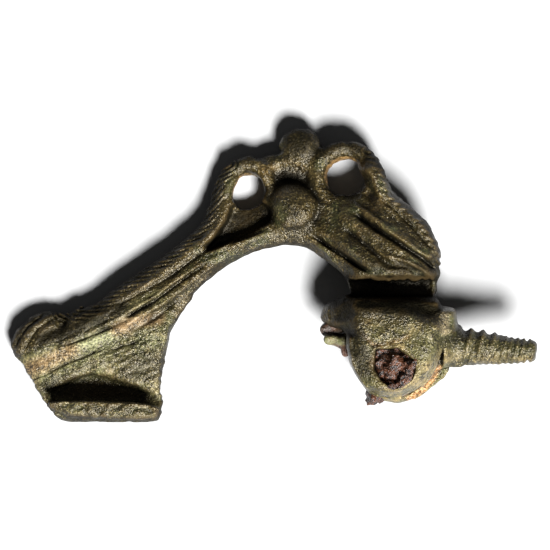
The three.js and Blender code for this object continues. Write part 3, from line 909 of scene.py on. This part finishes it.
FOOT_MARKS = (
    # darker and greyer metal, at the plate's lower left and at its right
    (
        shade(64, 62, 54),
        0.75,
        ([(-33.0, -1.6), (-30.2, -0.2), (-29.0, 0.3)], 0.7, 0.6),
        ([(-24.6, 0.0), (-22.6, 0.6)], 1.4, 0.7),
    ),
    # the mint and rose deposits along the plate's ridge
    (MINT, 0.9, ([(-29.8, 2.0), (-28.2, 2.7), (-27.0, 3.2)], 0.75, 0.6)),
    (ROSE, 0.75, ([(-34.6, 0.2), (-32.5, 1.0), (-30.6, 1.9)], 0.7, 0.6)),
    (ROSE, 0.75, ([(-26.4, 3.9), (-24.4, 4.7), (-22.4, 5.0)], 0.6, 0.5)),
)
# the flat facet behind the head's upper right corner
FACET_MARK = (GREY, 1.0, ([(4.75, 5.4), (4.8, 3.9)], 0.45, 0.25))
# rust that has run out of the bore
STAIN_MARK = (
    RUST,
    0.7,
    ([(-1.9, 0.9)], 0.5, 0.4),
    ([(-3.0, 3.6), (-2.0, 2.6), (-1.2, 2.5)], 0.1, 0.3),
)
# Dark marks laid over the paint, most of them painted shade where a place faces away from the lamp or lies
# below a higher part.
SHADE_AND_DARK_MARKS = (
    # a brown band left of the crown's painted shadow
    (shade(110, 88, 50), 0.35, ([(-12.2, 19.0), (-11.0, 19.6)], 0.5, 0.5)),
    # painted shade below the two ring holes, where their lower rims drop into shadow
    (
        shade(12, 10, 5),
        0.95,
        ([(-15.0, 14.7), (-13.8, 15.0), (-12.4, 15.6), (-12.0, 17.2)], 0.5, 0.5),
        ([(-6.2, 17.4), (-4.8, 16.5), (-3.4, 16.8)], 0.3, 0.5),
    ),
    # painted shade on the brink over the neck, which the head keeps from the lamp
    (shade(14, 11, 6), 0.85, ([(-4.2, 8.95), (4.3, 8.7)], 0.35, 0.35)),
    # painted shade on the head's brow and its left side, which face away from the lamp
    (shade(14, 13, 7), 0.95, ([(-5.0, 6.8), (0.0, 6.4), (4.0, 6.0)], 1.2, 0.8)),
    (shade(24, 21, 12), 0.88, ([(-4.6, 5.2), (-3.5, 2.6), (-2.8, 0.4)], 1.2, 0.8)),
    # the bell's lower edge
    (shade(20, 17, 9), 0.85, ([(-4.0, 10.1), (3.4, 9.7)], 0.6, 0.7)),
    # the boss darkened a little
    (shade(26, 25, 14), 0.35, ([(-9.6, 15.6)], 1.6, 1.0)),
    # painted shadow in the wedge where the arm divides, cast by the rail below it
    (shade(26, 20, 11), 0.8, ([(-16.2, 13.2), (-14.2, 13.9), (-12.4, 14.6)], 0.8, 0.6)),
    # painted shade on the outer side of both rings and on the crest knob between them
    (
        shade(22, 20, 11),
        0.9,
        ([(-15.6, 19.6), (-13.0, 20.6), (-11.0, 20.4)], 0.5, 0.6),
        ([(-9.0, 22.2)], 1.7, 0.7),
        ([(-7.0, 21.0), (-4.6, 21.9), (-2.2, 20.6), (-0.6, 18.8)], 0.6, 0.6),
    ),
    # painted shade on the rope of the arm, the foot knob and the groove below them, on the side away from the
    # lamp
    (
        shade(20, 18, 11),
        0.88,
        (ARM_EDGE[3:], 0.7, 0.6),
        ([(-36.2, 2.6), (-35.2, 4.4), (-33.4, 5.4), (-31.4, 5.2), (-29.0, 5.8)], 0.6, 0.7),
        ([(-33.5, 3.0), (-30.0, 3.9), (-26.0, 6.0)], 0.8, 0.6),
    ),
)

# The head's worn places, each a place and a radius.
WORN_PLACES = ((1.9, 4.1, 0.5), (2.3, -0.9, 0.7), (3.1, 0.5, 0.4), (0.6, 2.4, 0.3), (5.7, 1.4, 0.7))


def on_head(coat):
    """1 on the head, fading out over the neck and the slot."""
    return ramp(coat.u, -5.5, -4.5) * (1 - ramp(coat.v, 6.2, 7.0))


def ring_walls(coat):
    """1 at the walls of the two ring holes."""
    walls = coat.stroke([(-13.8, 17.2)], 1.7, 0.15) + coat.stroke([(-4.6, 18.7)], 1.9, 0.15)
    return np.clip(walls, 0, 1)


def paint_ground(coat, patches, spots):
    """Olive with darker and greener patches and tan spots."""
    coat.lay(DARK_OLIVE, 0.7 * ramp(patches, 0.0, 0.8))
    coat.lay(GREEN, 0.8 * ramp(coat.lumps(2.2, 71), 0.1, 0.8))
    coat.lay(TAN, 0.35 * ramp(spots, 0.35, 1.0))


def paint_head(coat, patches, spots):
    """Paler and greener than the bow, with worn places, rusty veins and a lower right of cream patina and
    painted light.
    """
    head = on_head(coat)
    u, v = coat.u, coat.v
    coat.lay(PALE_GREEN, head * (1 - ramp(v, 3.0, 5.6)) * (0.6 + 0.3 * patches))
    # Part patina, part painted light: the head's lower right, which faces the lamp, goes cream.
    low = head * (1 - ramp(v - 0.5 * u, -3.0, 1.5)) * ramp(u, -2.5, 1.0)
    coat.lay(CREAM, low * (0.45 + 0.5 * spots))
    for x, y, radius in WORN_PLACES:
        coat.lay(CREAM, coat.stroke([(x, y)], radius, 0.5) * (0.6 + 0.4 * spots))
    veins = coat.stroke([(-2.6, 3.0), (-1.7, 2.6), (-0.2, 2.8), (0.7, 3.2), (2.4, 3.4)], 0.15, 0.4)
    coat.lay(shade(92, 64, 36), head * veins * ramp(spots, -0.4, 0.6) * 0.8)


def paint_finial(coat, spots):
    """Darker and greener than the head, with painted light in cream along its lower side, which faces the
    lamp.
    """
    finial = ramp(coat.u, 5.0, 5.6) * (1 - ramp(coat.v, 4.2, 4.8))
    coat.lay(shade(42, 46, 29), finial * 0.85)
    # Painted light: cream along the finial's lower side, where the lamp falls on it.
    coat.lay(CREAM, finial * (1 - ramp(coat.v, 0.9, 2.2)) * (0.05 + 0.4 * spots))


def paint_foot(coat, patches, spots):
    """The plate's pale grey-green, with its marks."""
    foot = ramp(-coat.u, 20, 24) * (1 - ramp(coat.v - 0.5 * (coat.u + 30), 3.2, 4.6))
    coat.lay(shade(120, 124, 96), foot * (0.6 + 0.4 * patches))
    coat.lay(shade(150, 140, 120), foot * ramp(spots, 0.0, 0.9) * 0.5)
    coat.marks(FOOT_MARKS)


def paint_lug_rims(coat):
    """The far lug, the orange strip of corrosion between the lugs and a painted highlight along the near
    lug's rim.
    """
    outer = coat.stroke([(1.9, -3.0), (3.2, -2.1), (4.2, -1.0), (4.9, 0.2)], 0.45, 0.2)
    coat.lay(shade(104, 108, 80), outer * (coat.z < 1.6))
    strip = coat.stroke([(1.68, -2.74), (2.92, -1.86), (3.85, -0.76), (4.42, 0.3)], 0.28, 0.12)
    coat.lay(shade(186, 142, 104), strip * (coat.z < 1.9))
    # Painted highlight: a pale line along the top of the near lug's rim.
    rim = coat.stroke([(0.0, -2.75), (1.45, -2.42), (2.62, -1.6), (3.5, -0.58), (4.05, 0.4)], 0.12, 0.1)
    coat.lay(shade(190, 180, 156), rim * (coat.z > 2.5) * 0.8)


def paint_hollows(coat, spots):
    """The ring holes, the catch's lip, dirt and painted shadow in its trough, and painted shadow on the crown
    above the boss.
    """
    coat.lay(ORANGE, ring_walls(coat) * (np.abs(coat.z) < 1.0) * 0.8)
    coat.lay(shade(52, 50, 36), (coat.v < -2.9) * (coat.u < -20) * (0.8 + 0.3 * spots))
    # Dirt and painted shadow: the trough behind the catch's lip goes dark brown.
    trough = (1 - ramp(from_outline(coat.u, coat.v, TROUGH), -0.7, 0.35)) * (coat.z < 1.4)
    coat.lay(shade(34, 25, 15), trough * 0.9)
    # Painted shadow: the crown above the boss goes near black where the high boss shades it.
    crown = np.hypot((coat.u + 9.85) / 1.3, (coat.v - 18.45) / 0.75)
    coat.lay(shade(20, 16, 9), (1 - ramp(crown, 0.5, 1.2)) * 0.9)


def paint_body(obj, wax):
    """Every coat of the casting, the dark marks and the painted shade on the flanks last."""
    coat = Coat(obj, OLIVE)
    keep_values(obj, "edge", wax.sample(wax.blurred((1, 2, 3)), coat.points))
    keep_values(obj, "hollow", wax.sample(wax.blurred((2, 4, 6, 8)), coat.points))
    patches = coat.lumps(3.0, 61)
    spots = coat.lumps(0.9, 65)
    paint_ground(coat, patches, spots)
    paint_head(coat, patches, spots)
    paint_finial(coat, spots)
    paint_foot(coat, patches, spots)
    coat.marks([FACET_MARK])
    paint_lug_rims(coat)
    coat.marks([STAIN_MARK])
    paint_hollows(coat, spots)
    coat.marks(SHADE_AND_DARK_MARKS)
    # Painted shade: the flanks upright to the bow plane go near black, less on the head and not in the ring
    # holes.
    flank_shade = flanks(obj) * (1 - ring_walls(coat)) * (1 - 0.7 * on_head(coat))
    coat.lay(shade(16, 14, 9), 0.75 * flank_shade)
    coat.keep(obj)


def paint_pin(obj):
    """Brown corrosion, orange at the eye's left, with the green stub of the shank in it."""
    coat = Coat(obj, shade(96, 74, 56))
    coat.lay(shade(124, 84, 56), coat.stroke([(-4.5, 1.9)], 0.8, 0.4))
    coat.lay(shade(78, 44, 26), 0.85 * ramp(coat.lumps(1.3, 83), -0.2, 0.5))
    coat.lay(shade(40, 32, 22), 0.8 * ramp(coat.lumps(0.5, 85), 0.0, 0.7))
    stub = coat.stroke([(-6.2, 2.95), (-4.6, 2.95)], 0.5, 0.2)
    coat.lay(shade(128, 132, 98), stub * (0.8 + 0.3 * coat.lumps(0.7, 81)))
    coat.lay(shade(58, 44, 30), coat.stroke([(-5.1, 3.5)], 0.35, 0.25))
    coat.keep(obj)


class Nodes:
    """Builds a material's node tree in a few words."""

    def __init__(self, name):
        self.material = bpy.data.materials.new(name)
        self.material.use_nodes = True
        self.tree = self.material.node_tree
        self.shader = self.tree.nodes["Principled BSDF"]

    def put(self, socket, value):
        """Links a socket to a node's output, or sets it to a plain value."""
        if isinstance(value, bpy.types.NodeSocket):
            self.tree.links.new(value, socket)
        else:
            socket.default_value = value

    def add(self, kind, values=None, **settings):
        node = self.tree.nodes.new(kind)
        for key, value in settings.items():
            setattr(node, key, value)
        for key, value in (values or {}).items():
            self.put(node.inputs[key], value)
        return node

    def place(self):
        return self.add("ShaderNodeTexCoord").outputs["Object"]

    def grain(self, size, detail=2.0, roughness=0.5, distortion=0.0):
        """Noise with grains of a size in mm."""
        values = {
            "Vector": self.place(),
            "Scale": 1 / (size * MM),
            "Detail": detail,
            "Roughness": roughness,
            "Distortion": distortion,
        }
        return self.add("ShaderNodeTexNoise", values).outputs["Fac"]

    def value(self, name):
        return self.add("ShaderNodeAttribute", attribute_name=name).outputs["Fac"]

    def colour(self, name):
        return self.add("ShaderNodeAttribute", attribute_name=name).outputs["Color"]

    def scaled(self, value, low, high, bottom=0.0, top=1.0):
        """Moves the range from low to high onto the one from bottom to top."""
        values = {"Value": value, "From Min": low, "From Max": high, "To Min": bottom, "To Max": top}
        return self.add("ShaderNodeMapRange", values).outputs["Result"]

    def math(self, operation, a, b):
        return self.add("ShaderNodeMath", {0: a, 1: b}, operation=operation).outputs[0]

    def mix(self, amount, a, b, kind="MIX"):
        node = self.add("ShaderNodeMix", data_type="RGBA", blend_type=kind)
        ends = {"Factor": amount, "A": a, "B": b}
        for socket in node.inputs:
            if socket.enabled and socket.name in ends:
                self.put(socket, ends[socket.name])
        return next(s for s in node.outputs if s.enabled)

    def bump(self, height, depth, below=None):
        """Bumps of a depth in mm, over the bumps below."""
        values = {"Height": height, "Strength": 1.0, "Distance": depth * MM}
        if below is not None:
            values["Normal"] = below
        return self.add("ShaderNodeBump", values).outputs["Normal"]

    def finish(self, **values):
        """Sets or links the shader's sockets, each named with _ for a space."""
        for key, value in values.items():
            self.put(self.shader.inputs[key.replace("_", " ")], value)
        return self.material


def rgba(colour):
    return (*[float(c) for c in colour], 1.0)


WARM = (1.0, 0.9, 0.7, 1.0)

# The paint's lightness and the gloss at its darkest, as on the painted shade, and at its lightest.
DARK_PAINT_TONE = 0.003
DARK_PAINT_GLOSS = 0.06
LIGHT_PAINT_TONE = 0.016
LIGHT_PAINT_GLOSS = 0.42


def patina():
    """Gritty bronze patina: pale flecks and worn edges, near black in creases and hollows, and rough and dull
    where the paint is darkest.
    """
    n = Nodes("bronze_patina")
    fine = n.grain(0.19)
    coarse = n.grain(0.5, detail=3.0, roughness=0.6)
    broad = n.grain(1.6, detail=3.0, roughness=0.6)
    pitted = n.scaled(broad, 0.36, 0.58, 0.45, 1.0)
    colour = n.colour("paint")
    # 0 at the darkest paint, much of it painted shade, 1 at the lightest
    paint_lightness = n.scaled(colour, DARK_PAINT_TONE, LIGHT_PAINT_TONE)
    dark = n.scaled(fine, 0.38, 0.62, 0.2, 1.2)
    grey = n.add("ShaderNodeCombineColor", {0: dark, 1: dark, 2: dark}).outputs[0]
    colour = n.mix(pitted, colour, n.mix(1.0, colour, grey, "MULTIPLY"))
    colour = n.mix(n.scaled(coarse, 0.5, 0.64, 0.0, 0.75), colour, rgba(DARK_OLIVE * 0.12))
    flecks = n.math("MULTIPLY", n.scaled(fine, 0.6, 0.7, 0.0, 0.4), paint_lightness)
    colour = n.mix(flecks, colour, rgba(CREAM * SOOTED))
    # The paint goes near black in creases and hollows.
    pits = n.scaled(n.value("hollow"), 0.05, -0.2, 0.0, 0.96)
    colour = n.mix(pits, colour, rgba(DARK_OLIVE * 0.05))
    worn = n.scaled(n.value("edge"), 0.04, 0.16, 0.0, 0.15)
    colour = n.mix(worn, colour, rgba(TAN * SOOTED))
    rough = n.scaled(broad, 0.35, 0.65, 0.4, 0.28)
    rough = n.math("MAXIMUM", rough, n.scaled(paint_lightness, 0.0, 1.0, 0.62, 0.28))
    normal = n.bump(coarse, 0.18)
    normal = n.bump(n.math("MULTIPLY", fine, pitted), 0.17, normal)
    n.finish(Specular_IOR_Level=LIGHT_PAINT_GLOSS, Specular_Tint=WARM, IOR=1.45)
    gloss = n.scaled(paint_lightness, 0.0, 1.0, DARK_PAINT_GLOSS, LIGHT_PAINT_GLOSS)
    return n.finish(Base_Color=colour, Roughness=rough, Normal=normal, Specular_IOR_Level=gloss)


def rust():
    """Dark iron rust with browner lumps and pale specks."""
    n = Nodes("iron_rust")
    fine = n.grain(0.16, detail=3.0, roughness=0.6)
    coarse = n.grain(0.6, detail=3.0, roughness=0.6, distortion=0.6)
    colour = n.mix(n.scaled(coarse, 0.42, 0.6), rgba(shade(14, 8, 6)), rgba(RUST * 0.36))
    specks = n.scaled(fine, 0.56, 0.68, 0.0, 0.75)
    colour = n.mix(specks, colour, rgba(shade(160, 112, 84) * 0.42))
    rough = n.scaled(fine, 0.35, 0.65, 0.2, 0.6)
    normal = n.bump(fine, 0.12, n.bump(coarse, 0.2))
    return n.finish(Base_Color=colour, Roughness=rough, Normal=normal, IOR=1.5, Specular_IOR_Level=0.35)


def pin_crust():
    """The brown crust of the pin, mottled and dull."""
    n = Nodes("pin_corrosion")
    fine = n.grain(0.18, detail=3.0, roughness=0.6)
    coarse = n.grain(0.6, detail=3.0, roughness=0.6, distortion=0.4)
    mottles = n.scaled(coarse, 0.5, 0.64, 0.0, 0.5)
    colour = n.mix(mottles, n.colour("paint"), rgba(shade(90, 62, 42) * 0.55))
    specks = n.scaled(fine, 0.52, 0.66, 0.0, 0.6)
    colour = n.mix(specks, colour, rgba(shade(50, 44, 32) * 0.5))
    rough = n.scaled(fine, 0.35, 0.65, 0.35, 0.6)
    normal = n.bump(fine, 0.12, n.bump(coarse, 0.25))
    return n.finish(Base_Color=colour, Roughness=rough, Normal=normal, IOR=1.5)


# ------------------------ table, light, camera

# In metres, watts and linear light.
TABLE_REACH = 1.2
TABLE_TONES = (0.25, 0.265)
LAMP_TOWARDS = Vector((0.25, -0.52, 0.815)).normalized()
LAMP_AWAY = 0.6
LAMP_WIDTH = 0.2
LAMP_POWER = 21.0
AIR_STRENGTH = 0.08
VIEW_HEIGHT = 0.356
VIEW_OFFSET = 0.00033
LENS = 240.5


def table():
    """The pale, matt, faintly uneven table top."""
    mesh = bpy.data.meshes.new("table")
    corners = [(x * TABLE_REACH, y * TABLE_REACH, 0) for x, y in ((-1, -1), (1, -1), (1, 1), (-1, 1))]
    mesh.from_pydata(corners, [], [(0, 1, 2, 3)])
    obj = bpy.data.objects.new("table", mesh)
    bpy.context.scene.collection.objects.link(obj)
    n = Nodes("table_white")
    tone = n.mix(n.grain(20.0), *[rgba([tone] * 3) for tone in TABLE_TONES])
    mesh.materials.append(n.finish(Base_Color=tone, Roughness=0.9))


def lamp():
    """One soft key from the lower right of the view, high over the table."""
    data = bpy.data.lights.new("key", "AREA")
    data.shape = "DISK"
    data.size = LAMP_WIDTH
    data.energy = LAMP_POWER
    obj = bpy.data.objects.new("key", data)
    obj.location = LAMP_TOWARDS * LAMP_AWAY
    obj.rotation_mode = "QUATERNION"
    obj.rotation_quaternion = LAMP_TOWARDS.to_track_quat("Z", "Y")
    bpy.context.scene.collection.objects.link(obj)


def air():
    """A little light from all round."""
    world = bpy.data.worlds.new("air")
    world.use_nodes = True
    background = world.node_tree.nodes["Background"]
    background.inputs["Color"].default_value = (1, 1, 1, 1)
    background.inputs["Strength"].default_value = AIR_STRENGTH
    bpy.context.scene.world = world


def camera():
    """Straight down, from 350 mm above the middle of the bow's thickness."""
    low, high = (Vector(corner) for corner in CAD_BOX)
    data = bpy.data.cameras.new("camera")
    data.sensor_width = 36
    data.lens = LENS
    data.clip_start = 0.01
    data.clip_end = 10
    obj = bpy.data.objects.new("camera", data)
    obj.location = ((low.x + high.x) / 2 + VIEW_OFFSET, (low.y + high.y) / 2, VIEW_HEIGHT)
    bpy.context.scene.collection.objects.link(obj)
    bpy.context.scene.camera = obj
    bpy.context.scene.view_settings.view_transform = "Standard"


camera()
table()
lamp()
air()
body, body_wax = sculpt_body()
paint_body(body, body_wax)
body.data.materials.append(patina())
axle = sculpt_axle()
axle.data.materials.append(rust())
pin = sculpt_pin()
paint_pin(pin)
pin.data.materials.append(pin_crust())
